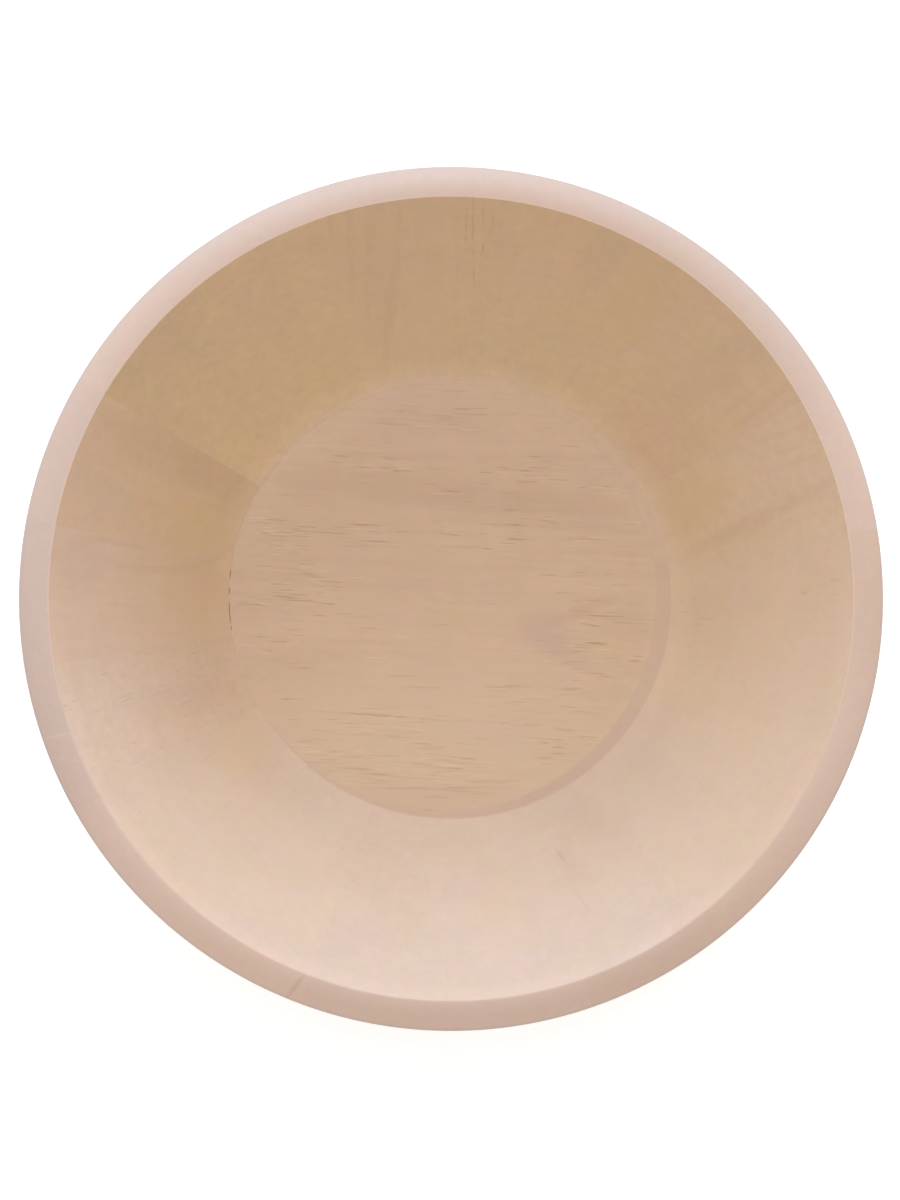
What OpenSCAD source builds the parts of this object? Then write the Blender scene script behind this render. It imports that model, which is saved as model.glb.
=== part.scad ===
// Turned wooden bowl: a coopered ring of glued staves with a round base disc let into it.
// Each section is drawn in one plane, with the radius along X and the height along Y.

/* [Bowl] */
// Diameter over the widest part of the rim
bowl_d = 300; // [240:5:360]
// Height from the foot to the lip
bowl_h = 90; // [75:1:120]
// Thickness of the wall, measured square to it
wall_t = 13.2; // [10:0.1:16]
// Radius of the outer wall's slight curve
wall_curve_r = 600; // [400:10:900]
// Diameter of the foot
foot_d = 174; // [140:1:210]
// Rounding of the foot's outer edge
foot_round = 2; // [1:0.5:3]
// Chamfer on the foot's inner edge
foot_chamfer = 1; // [0.5:0.25:2]

/* [Rim] */
// How far the widest part of the rim lies below the lip
rim_drop = 6.5; // [5:0.5:9]
// Rounding of the rim's outer edge
rim_nose_r = 2; // [1:0.25:3]

/* [Floor] */
// How far the floor sinks in the shallow ring next to the wall
floor_dip = 0.5; // [0.25:0.25:1.5]
// Width of that ring
dip_w = 13; // [8:1:20]
// Rounding between the floor and the wall
corner_r = 2; // [1:0.5:4]

/* [Base disc] */
// Thickness of the disc
base_t = 10; // [8:1:16]
// How much smaller the disc's radius is than the floor's
base_margin = 2.6; // [1.5:0.1:4]
// How far the disc sits off the bowl's centre
base_offset = 3; // [0.5:0.1:3.5]
// Direction in which it sits off the centre, counterclockwise from +X
base_offset_dir = 168; // [0:1:359]
// Glue gap around the disc
base_gap = 0.15; // [0.1:0.05:0.3]
// Thickness of the ledge that the disc rests on
ledge_t = 4; // [3:0.5:6]
// Width of the ledge under the disc
ledge_w = 7.5; // [5:0.5:12]

/* [Hidden] */
stave_count = 18;
stave_angle = 360 / stave_count;
// Direction of the first joint between staves
first_joint = 9.4;

$fn = 180;
// Facets of the long wall curves
curve_facets = 720;
// How far a cut runs past the surface it opens
overrun = 1;
// A rounding circle is drawn this much larger than one that only touches, so it crosses its neighbours cleanly
rounding_share = 1.01;

// Outline of a cut that chamfers a corner, in shares of the chamfer
chamfer_shares = [[-1, 2], [2, -1], [-1, -1]];

// Tones of the staves, in turn, as the photograph shows them
stave_colors = [
    "tan", "rosybrown", "burlywood", "tan", "burlywood", "khaki", "darkkhaki", "tan", "rosybrown",
    "tan", "wheat", "wheat", "bisque", "bisque", "burlywood", "bisque", "tan", "burlywood"
];

function unit(v) = v / norm(v);
// Centre of a circle of radius r about which both given circles' centres lie at the distances ra and rb,
// on the left of the way from a to b
function apex(a, ra, b, rb) =
    let (d = norm(b - a), u = (b - a) / d)
    let (along = (ra * ra - rb * rb + d * d) / (2 * d))
    let (across = sqrt(ra * ra - along * along))
    a + along * u + across * [-u.y, u.x];
// Radius at which a circle's outer side crosses a height
function circle_x(c, r, height) = c.x + sqrt(r * r - (height - c.y) * (height - c.y));

bowl_r = bowl_d / 2;
foot_r = foot_d / 2;
foot_edge = [foot_r, 0];
floor_z = ledge_t + base_t;
floor_low = floor_z - floor_dip;

// The rim's outer edge is a small circle, and the outer wall's curve runs from the foot's edge into it
nose_c = [bowl_r - rim_nose_r, bowl_h - rim_drop];
wall_c = apex(foot_edge, wall_curve_r, nose_c, wall_curve_r - rim_nose_r);
// The inner wall follows the outer one at the wall's thickness
inner_r = wall_curve_r - wall_t;
mouth_r = circle_x(wall_c, inner_r, bowl_h);
floor_r = circle_x(wall_c, inner_r, floor_low);

// The crown starts level at the lip and runs down into the nose
crown_w = nose_c.x - mouth_r;
crown_r = (crown_w * crown_w + rim_drop * rim_drop - rim_nose_r * rim_nose_r)
    / (2 * (rim_drop - rim_nose_r));
crown_c = [mouth_r, bowl_h - crown_r];

// The floor's edge falls away slightly before it meets the rounded corner
dip_start = [floor_r - dip_w, floor_z];
dip_dir = unit([dip_w, -floor_dip]);
dip_normal = [-dip_dir.y, dip_dir.x];

base_r = floor_r - base_margin;
pocket_r = base_r + base_gap;
ledge_r = base_r - ledge_w;

// Centres of the rounded corners: floor against wall, and the foot's outer edge
corner_offset = dip_start + corner_r * dip_normal - wall_c;
corner_along = corner_offset * dip_dir;
corner_t = sqrt(corner_along * corner_along - corner_offset * corner_offset
    + (inner_r - corner_r) * (inner_r - corner_r)) - corner_along;
corner_c = dip_start + corner_r * dip_normal + corner_t * dip_dir;
foot_c = [circle_x(wall_c, wall_curve_r - foot_round, foot_round), foot_round];

// Sliver outside a circle that rounds a corner, between its touching directions a and b
module round_off(c, r, a, b) {
    reach = 2 * r;
    difference() {
        polygon([c, c + reach * a, c + reach * (a + b), c + reach * b]);
        translate(c) circle(r = r * rounding_share);
    }
}

// Hollow of the bowl, open at the top
module cavity_section() {
    top = bowl_h + 2 * overrun;
    difference() {
        intersection() {
            translate(wall_c) circle(r = inner_r, $fn = curve_facets);
            polygon([[0, floor_z], dip_start, dip_start + bowl_d * dip_dir, [2 * bowl_d, top], [0, top]]);
        }
        round_off(corner_c, corner_r, -dip_normal, unit(corner_c - wall_c));
    }
}

// Wall, rim and floor as they are turned, in one piece
module turned_section() {
    difference() {
        intersection() {
            translate(wall_c) circle(r = wall_curve_r, $fn = curve_facets);
            square([bowl_d, bowl_h + overrun]);
        }
        cavity_section();
        difference() {
            translate([mouth_r - overrun, crown_c.y]) square([bowl_d, crown_r + 2 * overrun]);
            translate(crown_c) circle(r = crown_r);
        }
        round_off(nose_c, rim_nose_r, unit(nose_c - crown_c), unit(nose_c - wall_c));
        round_off(foot_c, foot_round, [0, -1], unit(foot_c - wall_c));
    }
}

// The ring of staves alone, with the ledge that carries the disc
module ring_section() {
    difference() {
        turned_section();
        translate([0, -overrun]) square([ledge_r, bowl_h]);
        translate([ledge_r, 0]) polygon(foot_chamfer * chamfer_shares);
    }
}

// Round space of a given radius that the disc is let into, off the bowl's centre
module disc_space(r) {
    off = base_offset * [cos(base_offset_dir), sin(base_offset_dir)];
    translate([off.x, off.y, ledge_t]) cylinder(r = r, h = bowl_h);
}

// One stave: a wedge of the turned ring, cut away for the disc
module stave(i) {
    color(stave_colors[i])
    difference() {
        rotate([0, 0, first_joint + i * stave_angle])
            rotate_extrude(angle = stave_angle) ring_section();
        disc_space(pocket_r);
    }
}

// The disc, turned together with the ring, so it carries the floor and a trace of the corner
module base_disc() {
    color("burlywood")
    intersection() {
        rotate_extrude() turned_section();
        disc_space(base_r);
    }
}

for (i = [0:stave_count - 1])
    stave(i);
base_disc();
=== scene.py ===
import math

import bpy
from mathutils import Euler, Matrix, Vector


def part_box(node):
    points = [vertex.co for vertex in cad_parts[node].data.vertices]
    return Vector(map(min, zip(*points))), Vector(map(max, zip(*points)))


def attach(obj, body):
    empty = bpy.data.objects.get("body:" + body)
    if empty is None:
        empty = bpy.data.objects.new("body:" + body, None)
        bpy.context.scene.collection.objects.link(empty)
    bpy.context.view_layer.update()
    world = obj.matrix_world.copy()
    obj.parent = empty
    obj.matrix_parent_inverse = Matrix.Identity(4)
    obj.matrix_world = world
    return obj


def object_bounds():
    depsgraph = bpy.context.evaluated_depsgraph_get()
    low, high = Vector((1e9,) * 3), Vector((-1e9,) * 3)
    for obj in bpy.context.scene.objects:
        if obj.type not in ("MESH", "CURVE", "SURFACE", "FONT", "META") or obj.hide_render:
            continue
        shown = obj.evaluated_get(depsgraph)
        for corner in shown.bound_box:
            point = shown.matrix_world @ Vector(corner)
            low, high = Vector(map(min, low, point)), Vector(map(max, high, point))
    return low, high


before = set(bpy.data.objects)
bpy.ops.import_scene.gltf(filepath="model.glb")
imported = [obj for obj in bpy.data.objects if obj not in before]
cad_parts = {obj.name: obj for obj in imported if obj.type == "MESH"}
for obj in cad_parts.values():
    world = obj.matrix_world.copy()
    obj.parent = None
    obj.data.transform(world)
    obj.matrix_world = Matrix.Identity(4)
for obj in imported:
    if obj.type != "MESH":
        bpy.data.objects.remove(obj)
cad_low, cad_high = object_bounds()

# A turned bowl of eighteen glued staves round one base disc, seen from straight above.
# Lengths are in metres, except in the wood's node group and in the marks on it, which work in millimetres.
MM = 1000.0

# Sizes of the bowl, from the frame
RIM_R = (cad_high.x - cad_low.x) / 2
HEIGHT = cad_high.z
DISC_LOW, DISC_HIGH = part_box("base_disc")
DISC_CENTRE = (DISC_LOW + DISC_HIGH) / 2
FLOOR_Z = DISC_HIGH.z
DISC_R = (DISC_HIGH.y - DISC_LOW.y) / 2

# Sizes of the bowl that the frame's boxes don't give: the radius of its mouth and of its floor, the height
# of the rim's widest part, and the gap round the disc
MOUTH_R = 0.1389
FLOOR_R = 0.0814
WIDEST_Z = 0.0835
GAP = 0.00015

# The glue in the disc's gap: how deep it goes, how far its top lies under the floor,
# and how far it soaks into the wood on both sides
GLUE_REACH = 0.0010
GLUE_SINK = 0.00002
GLUE_BITE = 0.00002
# How high the bumps in its surface are
GLUE_BUMPS = 0.00005
# The cracks in it: the middle and half the length of each, in degrees counterclockwise from -X
CRACKS = [(-6.5, 1.3), (-2.2, 1.0), (3.5, 3.6), (7.6, 0.6)]
# How dark they are
CRACK_SHARE = 0.70

# The staves: their number, the first joint's angle from +X, and the slope of the wall, in degrees
STAVE_COUNT = 18
STAVE_ANGLE = 360 / STAVE_COUNT
FIRST_JOINT = 9.4
WALL_SLOPE = math.degrees(math.atan2(HEIGHT - FLOOR_Z, MOUTH_R - FLOOR_R))
# Half a stave's angle in radians, and half the length of its inner face from foot to lip
STAVE_HALF = math.radians(STAVE_ANGLE / 2)
FACE_HALF = (MOUTH_R - FLOOR_R) / 2 / math.cos(math.radians(WALL_SLOPE))
# How deep behind the line from foot to lip the inner face ends
INNER_FACE_END = (-0.009, -0.006)
# Heights between which the underside ends, the foot's end grain ends and the rim's crown starts
UNDERSIDE_END = (0.008, 0.010)
FOOT_END = (0.040, 0.030)
CROWN_START = (0.080, 0.086)
# How wide a joint between staves shows, and how dark
JOINT_WIDTH = 0.0003
JOINT_SHARE = 0.015

# The photograph: its size, and the bowl's centre and radius in its pixels
PHOTO_W, PHOTO_H = 900, 1200
PHOTO_CENTRE_X, PHOTO_CENTRE_Y = 451.0, 598.9
PHOTO_R = 432.1

# The camera's height over the rim, its sensor's long side in millimetres, and the nearest that it sees
CAMERA_RISE = 1.15
SENSOR = 36
NEAREST = 0.01

# Share of the level light from all around, from high on the +Y side and from low on the +Y side
AROUND_SHARE = 0.72
HIGH_SHARE, HIGH_ANGLE = 0.20, 25
LOW_SHARE, LOW_ANGLE = 0.125, 68
LAMP_SOFTNESS = 30
WHITE = (1.0, 1.0, 1.0)
# The light from all around is a trace warm and the lamps a trace cool, so that together they are neutral
AROUND_TINT = (1.03, 1.0, 0.965)
LAMP_TINT = (0.935, 1.0, 1.075)
# The white floor: half its width, its tone and roughness, and how bright it looks by itself, on top of the
# light that falls on it
PAPER_HALF = 3.0
PAPER = (0.88, 0.88, 0.88)
PAPER_ROUGHNESS = 0.9
PAPER_GLOW = 0.45

# The wood's relief: how deep its pores and how high its fibres are, and how strongly both show
PORE_DEPTH = 0.00003
FIBRE_RISE = 0.00002
RELIEF = 0.6
# How strongly the wood mirrors
WOOD_SHINE = 0.4


class Tree:
    """Short calls for building one node tree."""

    def __init__(self, tree):
        self.tree = tree

    def feed(self, socket, value):
        """Links a socket to another, or sets its value."""
        if isinstance(value, bpy.types.NodeSocket):
            self.tree.links.new(value, socket)
        elif socket.type == "RGBA":
            socket.default_value = (*value, 1.0)
        else:
            socket.default_value = value

    def node(self, kind, *values, **settings):
        """A new node with its settings, and its inputs fed in their order."""
        made = self.tree.nodes.new(kind)
        for name, value in settings.items():
            setattr(made, name, value)
        for socket, value in zip(made.inputs, values):
            self.feed(socket, value)
        return made

    def calc(self, operation, *values, clamp=False):
        """One sum on numbers."""
        return self.node("ShaderNodeMath", *values, operation=operation, use_clamp=clamp).outputs[0]

    def vector(self, operation, *values):
        """One sum on vectors."""
        return self.node("ShaderNodeVectorMath", *values, operation=operation).outputs[0]

    def dot(self, one, other):
        """The dot product of two vectors."""
        return self.node("ShaderNodeVectorMath", one, other, operation="DOT_PRODUCT").outputs["Value"]

    def here(self):
        """The point in the bowl."""
        return self.node("ShaderNodeTexCoord").outputs["Object"]

    def split(self, vector):
        """The three parts of a vector."""
        return self.node("ShaderNodeSeparateXYZ", vector).outputs

    def join(self, x, y, z):
        """A vector from its three parts."""
        return self.node("ShaderNodeCombineXYZ", x, y, z).outputs[0]

    def length(self, x, y):
        """How long a vector in a plane is."""
        return self.calc("SQRT", self.calc("MULTIPLY_ADD", x, x, self.calc("MULTIPLY", y, y)))

    def ease(self, value, start, end, low=0.0, high=1.0):
        """Goes smoothly from low to high as value goes from start to end."""
        made = self.node("ShaderNodeMapRange", value, start, end, low, high, interpolation_type="SMOOTHSTEP")
        return made.outputs[0]

    def noise(self, vector, size, detail=2.0, rough=0.5):
        """Soft noise about zero, mostly within -0.4 and 0.4, in spots of the given size along each axis."""
        spots = self.vector("DIVIDE", vector, size)
        made = self.node("ShaderNodeTexNoise", noise_dimensions="3D")
        self.feed(made.inputs["Vector"], spots)
        made.inputs["Scale"].default_value = 1.0
        made.inputs["Detail"].default_value = detail
        made.inputs["Roughness"].default_value = rough
        return self.calc("SUBTRACT", made.outputs[0], 0.5)

    def mix(self, share, one, other, blend="MIX"):
        """A colour between two."""
        made = self.node("ShaderNodeMix", data_type="RGBA", blend_type=blend)
        self.feed(made.inputs[0], share)
        self.feed(made.inputs[6], one)
        self.feed(made.inputs[7], other)
        return made.outputs[2]

    def in_mm(self, vector):
        """A vector in millimetres."""
        made = self.node("ShaderNodeVectorMath", vector, operation="SCALE")
        made.inputs["Scale"].default_value = MM
        return made.outputs[0]

    def apart(self, vector, *offset):
        """The same point far off, so that two layers of noise don't follow each other."""
        return self.vector("ADD", vector, offset)

    def tint(self, colour, strength):
        """A colour made lighter or darker."""
        return self.vector("MULTIPLY", colour, self.join(strength, strength, strength))

    def times(self, share, tone, factors):
        """A tone multiplied by factors, as far as the share says."""
        return self.mix(share, tone, factors, blend="MULTIPLY")


# Tones of the wood: first those that boards and patches are mixed from, then its lines and its glue
STRAW = (0.700, 0.508, 0.298)
ROSE = (0.700, 0.480, 0.335)
PALE = (0.628, 0.513, 0.446)
PLUM = (0.570, 0.405, 0.300)
MAUVE = (0.600, 0.420, 0.325)
DUSK = (0.560, 0.370, 0.285)
HONEY = (0.655, 0.470, 0.255)
AMBER = (0.600, 0.405, 0.240)
VEIN = (0.448, 0.265, 0.168)
PORE = (0.315, 0.144, 0.066)
FILLED_PORE = (0.782, 0.600, 0.427)
GLUE = (0.220, 0.135, 0.085)
# Tones of the wood where it is cut across its fibres: the rim's two ends of the scale, the light streaks on
# it, and the end grain on the floor and under the foot
COOL_RIM = (0.595, 0.460, 0.415)
WARM_RIM = (0.652, 0.445, 0.341)
SHEEN = (0.700, 0.575, 0.530)
END_TONE = (0.534, 0.378, 0.308)
# Factors for the small swings of hue within the wood
YELLOWER = (1.0, 1.005, 0.91)
BLUER = (1.01, 0.98, 1.04)
GREENER = (0.980, 1.014, 1.0)
REDDER = (1.020, 0.984, 1.0)
# Factors for edges that look lighter or cooler than what is beside them: painted light on the foot of the
# wall, painted cool light on the corner under it towards +Y, painted light on the floor's edge, a lighter
# and cooler tone on the same towards -Y, the disc's own edge lifted towards the wall's tone, and a painted
# highlight on the wall's top edge towards -Y
FOOT_PAINTED_LIGHT = (1.07, 1.08, 1.11)
CORNER_PAINTED_COOL_LIGHT = (0.985, 1.0, 1.07)
FLOOR_EDGE_PAINTED_LIGHT = (1.03, 1.055, 1.06)
EDGE_BLUSH = (1.01, 1.02, 1.05)
EDGE_LIFT = (1.07, 1.06, 1.05)
LIP_PAINTED_HIGHLIGHT = (1.058, 1.052, 1.07)
# Painted light and shade on the rim: factors for its inner part, outer part and outermost edge, first
# towards
# +Y, where it faces the lamps, and then towards -Y, where it faces away
RIM_FAR_PAINTED_LIGHT_AND_SHADE = [(0.985, 0.935, 0.905), (0.975, 1.03, 1.085), (0.92, 0.99, 1.08)]
RIM_NEAR_PAINTED_LIGHT_AND_SHADE = [(0.965, 0.97, 0.975), (1.03, 1.01, 0.995), (0.84, 0.88, 0.94)]
# Factors for the rim's small swings of hue: greener and redder, then bluer and yellower
RIM_BLUSH = [(0.970, 1.020, 1.0), (1.030, 0.980, 1.0)]
RIM_MOTTLE = [(1.0, 0.985, 1.05), (1.0, 1.0, 0.93)]
# How far the rim's tone covers the wood's
RIM_SHARE = 0.85


def between(one, other, share):
    """A tone between two."""
    return [a + (b - a) * share for a, b in zip(one, other)]


def shade(rose, pale, light):
    """A board's tone: from straw to rose, then towards pale, and lighter or darker."""
    return [part * light for part in between(between(STRAW, ROSE, rose), PALE, pale)]


def rim_shade(warm, light):
    """The tone of a stave's rim, where the wood is cut across its fibres."""
    return [part * light for part in between(COOL_RIM, WARM_RIM, warm)]


def sockets(group, names, side):
    """Gives a node group its inputs or outputs, each with its kind: a number, a vector or a colour."""
    for name, kind in names.items():
        group.interface.new_socket(name, in_out=side, socket_type="NodeSocket" + kind)


# The wood's figure. Each size is that of the noise's spots in millimetres, along the bowl's axes for clouds
# and blotches and along the board's for the rest. Each swing is how much the light changes with them.
CLOUD_SIZE, CLOUD_SWING = (18.0, 16.0, 16.0), 0.09
BLOTCH_SIZE, BLOTCH_SWING = (4.5, 3.5, 3.5), 0.12
BAND_SIZE, BAND_SWING = (110.0, 7.0, 7.0), 0.08
STREAK_SIZE, STREAK_SWING = (60.0, 1.9, 1.9), 0.10
FIBRE_SIZE, FIBRE_SWING = (12.0, 0.4, 0.4), 0.03
# The growth rings' waves: their size, and how far they push a ring, in millimetres
RING_WAVES = [((90.0, 26.0, 26.0), 4.0), ((30.0, 6.0, 6.0), 1.2)]
# Between which values the noise across the rings turns into late wood
LATE_WOOD = (0.45, 0.80)
# How far a board's noise lies from the next board's, in millimetres and in rings
BOARD_SHIFT = (131.0, 57.0, 83.0)
RING_SHIFT = 17.3
# The pores: the size of a dark dash and of a light one, how soft the edges of both are, and how far a dash
# slips along the grain, which makes its ends ragged
PORE_SIZE, PORE_EDGE = (11.0, 0.45, 0.45), 0.09
FILLED_SIZE, FILLED_EDGE = (11.0, 0.5, 0.5), 0.10
PORE_SLIP = 40.0
# How high the noise has to rise for a pore, how much less in a crowd of them, and how strong a light dash is
# beside a dark one
PORE_LEAST = 0.34
PORE_CROWD = 0.35
FILLED_SHARE = 0.9


def late_wood(t, given, point, place):
    """How much late wood shows: growth rings are tubes round the board's pith, and slightly wavy."""
    along, across, deep = t.split(point)
    side = t.calc("SUBTRACT", across, given["Pith across"])
    side = t.calc("SUBTRACT", side, t.calc("MULTIPLY", along, given["Pith lean"]))
    depth = t.calc("ADD", deep, given["Pith depth"])
    depth = t.calc("SUBTRACT", depth, t.calc("MULTIPLY", along, given["Pith rise"]))
    ring_r = t.length(side, depth)
    for size, push in RING_WAVES:
        ring_r = t.calc("MULTIPLY_ADD", t.noise(place, size), push, ring_r)
    ring_at = t.calc("DIVIDE", ring_r, given["Ring width"])
    ring_at = t.calc("MULTIPLY_ADD", given["Seed"], RING_SHIFT, ring_at)
    rings = t.node("ShaderNodeTexNoise", noise_dimensions="1D")
    t.feed(rings.inputs["W"], ring_at)
    rings.inputs["Scale"].default_value = 1.0
    rings.inputs["Detail"].default_value = 2.5
    rings.inputs["Roughness"].default_value = 0.6
    return t.ease(rings.outputs[0], *LATE_WOOD)


def swing_hues(t, tone, spot):
    """Turns a tone softly towards yellow or blue, and towards green or red."""
    hue = t.noise(t.apart(spot, 500.0, 0.0, 0.0), (15.0, 12.0, 12.0), detail=3.0, rough=0.6)
    blush = t.noise(t.apart(spot, 0.0, 0.0, 900.0), (9.0, 8.0, 8.0), detail=3.0, rough=0.7)
    for swing, strength, low, high in ((hue, 1.5, YELLOWER, BLUER), (blush, 2.2, GREENER, REDDER)):
        share = t.calc("MULTIPLY_ADD", swing, strength, 0.5, clamp=True)
        tone = t.times(1.0, tone, t.mix(share, low, high))
    return tone


def add_pores(t, given, tone, place):
    """Draws thin dark dashes along the grain in loose groups, and light ones where pores are filled.

    It also gives how far a dark pore shows.
    """
    slip = t.noise(t.apart(place, 0.0, 200.0, 0.0), (80.0, 1.3, 1.3), detail=1.0)
    ragged = t.vector("ADD", place, t.join(t.calc("MULTIPLY", slip, PORE_SLIP), 0.0, 0.0))
    crowd = t.noise(t.apart(place, 0.0, 0.0, 700.0), (28.0, 9.0, 9.0))
    least = t.calc("SUBTRACT", PORE_LEAST, given["Pore share"])
    least = t.calc("MULTIPLY_ADD", crowd, -PORE_CROWD, least)

    dash = t.noise(ragged, PORE_SIZE, detail=0.0)
    pore = t.ease(t.calc("SUBTRACT", dash, least), 0.0, PORE_EDGE)
    shown = t.calc("MULTIPLY", pore, given["Pore strength"], clamp=True)
    tone = t.mix(shown, tone, PORE)

    dash = t.noise(t.apart(ragged, 0.0, 60.0, 0.0), FILLED_SIZE, detail=0.0)
    filled = t.ease(t.calc("SUBTRACT", dash, least), 0.0, FILLED_EDGE)
    shown = t.calc("MULTIPLY", filled, t.calc("MULTIPLY", given["Pore strength"], FILLED_SHARE))
    return t.mix(shown, tone, FILLED_PORE), pore


def make_wood_group():
    """Wood in a board's own frame: x along the grain, y across it and z through the thickness.

    Its growth rings are tubes round a pith that lies under the board, and its dark pores are short
    dashes along the grain, so every cut through the board shows the figure that belongs there.
    Place is the point in the bowl: its soft clouds and swings of hue run on from board to board.
    """
    group = bpy.data.node_groups.new("board_wood", "ShaderNodeTree")
    inputs = {
        "Board": "Vector", "Place": "Vector", "Tone": "Color", "Seed": "Float",
        "Pith across": "Float", "Pith depth": "Float", "Pith lean": "Float", "Pith rise": "Float",
        "Ring width": "Float", "Ring strength": "Float", "Pore share": "Float", "Pore strength": "Float",
        "Streak strength": "Float", "Blotch strength": "Float",
    }
    sockets(group, inputs, "INPUT")
    sockets(group, {"Colour": "Color", "Height": "Float", "Roughness": "Float"}, "OUTPUT")
    t = Tree(group)
    given = t.node("NodeGroupInput").outputs
    result = t.node("NodeGroupOutput").inputs

    # The point on the board, the same moved for the board's own noise, and the point in the bowl
    point = t.in_mm(given["Board"])
    shift = t.join(given["Seed"], given["Seed"], given["Seed"])
    place = t.vector("MULTIPLY_ADD", shift, BOARD_SHIFT, point)
    spot = t.in_mm(given["Place"])

    # Broad clouds and small blotches, then long bands, streaks and fine fibres along the grain
    cloud = t.noise(spot, CLOUD_SIZE, detail=3.0)
    blotch = t.noise(t.apart(spot, 0.0, 300.0, 0.0), BLOTCH_SIZE)
    band = t.noise(t.apart(place, 0.0, 0.0, 400.0), BAND_SIZE)
    streak = t.noise(place, STREAK_SIZE, detail=3.0, rough=0.6)
    fibre = t.noise(place, FIBRE_SIZE, rough=0.6)
    light = t.calc("MULTIPLY_ADD", cloud, CLOUD_SWING, 1.0)
    for layer, strength, swing in (
        (blotch, given["Blotch strength"], BLOTCH_SWING),
        (streak, given["Streak strength"], STREAK_SWING),
        (band, given["Streak strength"], BAND_SWING),
    ):
        light = t.calc("MULTIPLY_ADD", t.calc("MULTIPLY", layer, strength), swing, light)
    light = t.calc("MULTIPLY_ADD", fibre, FIBRE_SWING, light)

    tone = t.tint(swing_hues(t, given["Tone"], spot), light)
    veined = t.calc("MULTIPLY", late_wood(t, given, point, place), given["Ring strength"], clamp=True)
    tone, pore = add_pores(t, given, t.mix(veined, tone, VEIN), place)

    height = t.calc("MULTIPLY_ADD", fibre, FIBRE_RISE, t.calc("MULTIPLY", pore, -PORE_DEPTH))
    roughness = t.calc("MULTIPLY_ADD", pore, 0.2, t.calc("MULTIPLY_ADD", streak, 0.12, 0.52))
    t.feed(result["Colour"], tone)
    t.feed(result["Height"], height)
    t.feed(result["Roughness"], roughness)
    return group


WOOD = make_wood_group()


def new_material(name):
    """A material with nothing in it but its shader and output."""
    material = bpy.data.materials.new(name)
    material.use_nodes = True
    t = Tree(material.node_tree)
    return material, t, material.node_tree.nodes["Principled BSDF"]


def board_frame(t, at, turn):
    """Coordinates of a board that is placed at a point and turned by Euler angles in degrees."""
    mapping = t.node("ShaderNodeMapping", t.here(), vector_type="TEXTURE")
    mapping.inputs["Location"].default_value = at
    mapping.inputs["Rotation"].default_value = [math.radians(angle) for angle in turn]
    return mapping.outputs[0]


def wood(t, board, tone, settings):
    """The board's wood in its tone, from its settings."""
    made = t.node("ShaderNodeGroup", node_tree=WOOD)
    t.feed(made.inputs["Board"], board)
    t.feed(made.inputs["Place"], t.here())
    t.feed(made.inputs["Tone"], tone)
    for name, value in settings.items():
        t.feed(made.inputs[name], value)
    return made.outputs["Colour"], made.outputs["Height"], made.outputs["Roughness"]


def oval(t, x, y, at, size, turn):
    """How far a point is from an oval's middle, along and aside, in shares of half its length and width."""
    lean = math.radians(turn)
    cos, sin = math.cos(lean), math.sin(lean)
    along = t.calc("MULTIPLY_ADD", y, sin / size[0], -(at[0] * cos + at[1] * sin) / size[0])
    along = t.calc("MULTIPLY_ADD", x, cos / size[0], along)
    aside = t.calc("MULTIPLY_ADD", x, -sin / size[1], (at[0] * sin - at[1] * cos) / size[1])
    aside = t.calc("MULTIPLY_ADD", y, cos / size[1], aside)
    return along, aside


def in_oval(t, along, aside, share):
    """The share at an oval's middle, fading to nothing at its edge."""
    far = t.calc("MULTIPLY_ADD", along, along, t.calc("MULTIPLY", aside, aside))
    return t.ease(far, 1.0, 0.0, 0.0, share)


def add_marks(t, tone, point, marks):
    """Draws soft marks one after the other in a plane, in millimetres.

    The edge of each strays, a broad one fades in places, and a thin one breaks up.
    """
    x, y, _ = t.split(point)
    stray = t.noise(point, (14.0, 7.0, 7.0), detail=3.0)
    breaks = t.noise(point, (6.0, 1.5, 1.5))
    whole = t.calc("MULTIPLY_ADD", stray, 1.2, 0.9, clamp=True)
    broken = t.calc("MULTIPLY_ADD", breaks, 3.0, 0.6, clamp=True)
    for one in marks:
        along, aside = oval(t, x, y, one["at"], one["size"], one["turn"])
        aside = t.calc("MULTIPLY_ADD", stray, one["wander"] / one["size"][1], aside)
        if one["bend"]:
            bend = -one["bend"] * one["size"][0] ** 2 / one["size"][1]
            aside = t.calc("MULTIPLY_ADD", t.calc("MULTIPLY", along, along), bend, aside)
        shown = in_oval(t, along, aside, one["share"])
        shown = t.calc("MULTIPLY", shown, broken if one["thin"] else whole)
        tone = t.mix(shown, tone, one["into"])
    return tone


def add_seam_stain(t, tone):
    """A faint stain along the disc's glued edge, and the open dark cracks in it on the -X side."""
    point = t.in_mm(t.here())
    x, y, _ = t.split(point)
    dx = t.calc("SUBTRACT", x, DISC_CENTRE.x * MM)
    dy = t.calc("SUBTRACT", y, DISC_CENTRE.y * MM)
    off = t.calc("ABSOLUTE", t.calc("SUBTRACT", t.length(dx, dy), (DISC_R - GAP / 2) * MM))
    around = t.calc("DEGREES", t.calc("ARCTAN2", t.calc("MULTIPLY", y, -1.0), t.calc("MULTIPLY", x, -1.0)))
    crack = 0.0
    for middle, half in CRACKS:
        here = t.ease(t.calc("ABSOLUTE", t.calc("SUBTRACT", around, middle)), half, half * 0.5)
        crack = t.calc("ADD", crack, here)
    crack = t.calc("MULTIPLY", crack, t.ease(off, 0.30, 0.10))
    patches = t.noise(point, (3.0, 3.0, 3.0))
    patches = t.calc("MULTIPLY_ADD", patches, 0.25, 0.03, clamp=True)
    stain = t.calc("MULTIPLY", t.ease(off, 0.6, 0.1), patches)
    return t.mix(t.calc("MAXIMUM", t.calc("MULTIPLY", crack, CRACK_SHARE), stain), tone, GLUE)


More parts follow.
